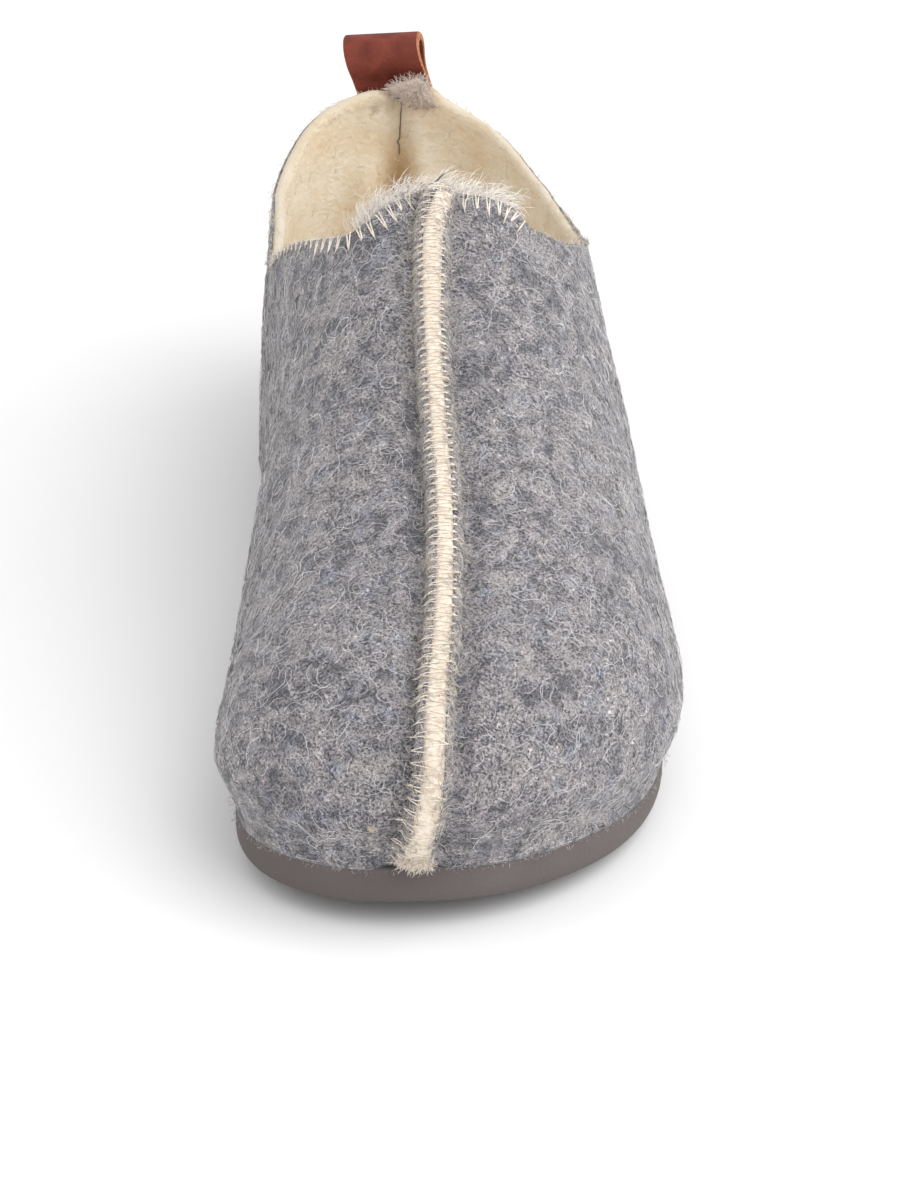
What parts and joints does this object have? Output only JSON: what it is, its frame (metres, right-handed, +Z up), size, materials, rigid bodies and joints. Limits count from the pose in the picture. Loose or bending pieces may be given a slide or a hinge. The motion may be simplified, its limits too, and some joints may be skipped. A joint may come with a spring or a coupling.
{
  "type": "bootie slipper",
  "caption": "Left felt bootie slipper with a raised front seam from toe to throat, an open collar, a plain rubber sole and a leather pull loop at the heel.",
  "frame": {"origin": "on the floor, under the middle of the slipper's bounding box", "axes": "+Z up, the toe points to -Y and the heel to +Y, the big-toe side is -X"},
  "size_m": [0.1018, 0.2652, 0.108],
  "materials": {
    "grey_felt": "mottled wool felt with loose fibres",
    "cream_felt": "brushed wool",
    "sole_rubber": "matte moulded rubber",
    "loop_leather": "smooth brown leather with raw cut edges"
  },
  "bodies": {
    "root": {"upper": "grey_felt", "front_seam": "cream_felt", "insole": "cream_felt", "outsole": "sole_rubber", "pull_loop": "loop_leather"}
  },
  "joints": []
}
